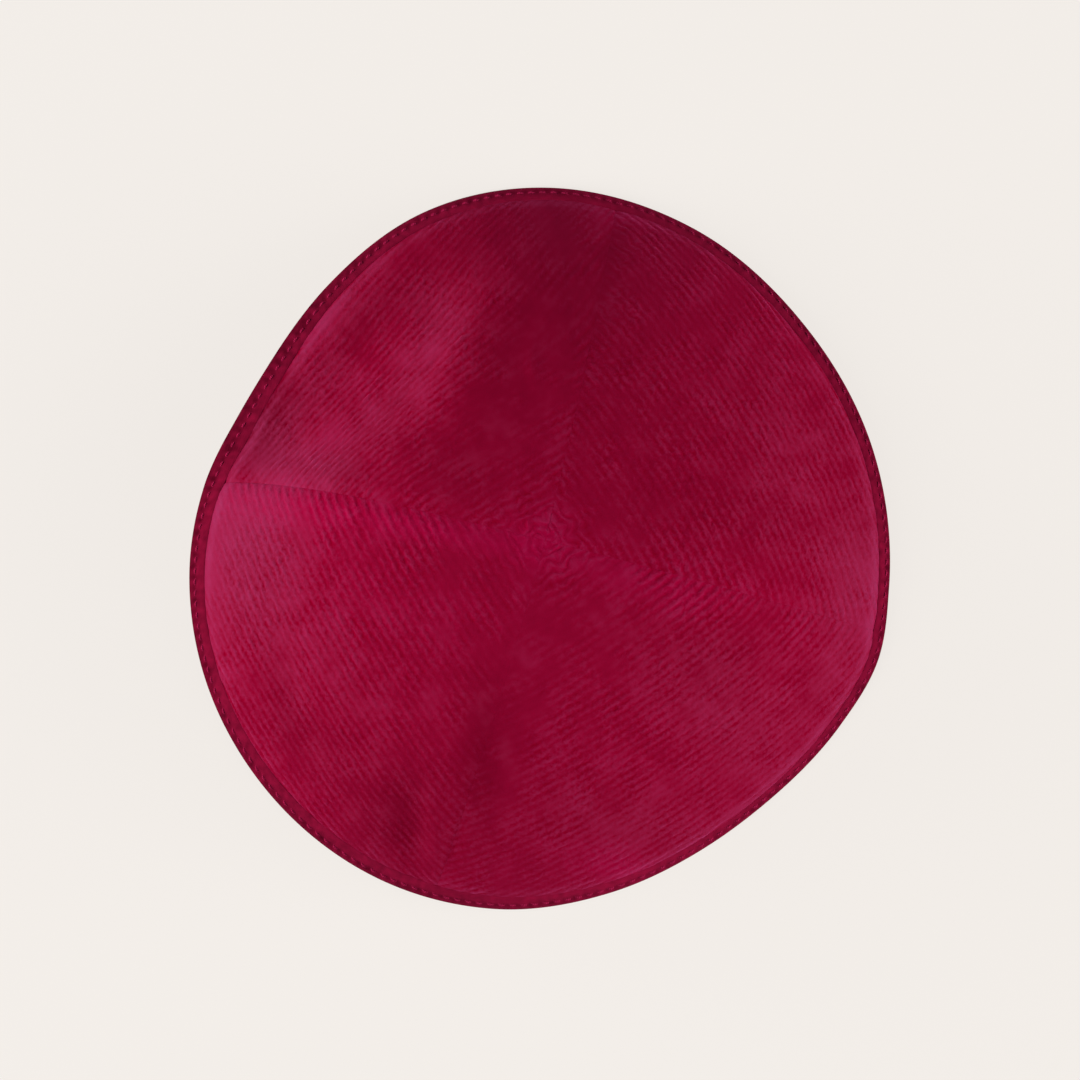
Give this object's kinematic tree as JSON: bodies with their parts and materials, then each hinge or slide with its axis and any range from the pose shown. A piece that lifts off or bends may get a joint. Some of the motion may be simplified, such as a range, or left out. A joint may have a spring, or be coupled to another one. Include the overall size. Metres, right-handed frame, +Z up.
{
  "type": "kippah",
  "caption": "Round cloth skullcap of sewn gore panels in fine ribbed pile cloth, domed and hollow underneath, with a folded binding round its edge, lying on its rim.",
  "frame": {"origin": "on the surface that the cap lies on, under the middle of its outline seen from above", "axes": "+Z up through the crown; +Y along the cap's longest width; +X to the right as seen from above with +Y at the top"},
  "size_m": [0.1673, 0.1724, 0.05],
  "materials": {
    "ribbed_cloth": "fine ribbed cotton pile cloth, burgundy to raspberry red, matt with a soft sheen at grazing angles",
    "binding_cloth": "smooth dark burgundy cotton strip, folded over the edge and topstitched"
  },
  "bodies": {
    "root": {"panel_upper_right": "ribbed_cloth", "panel_upper_left": "ribbed_cloth", "panel_lower_left": "ribbed_cloth", "panel_lower_right": "ribbed_cloth", "edge_binding": "binding_cloth"}
  },
  "joints": []
}
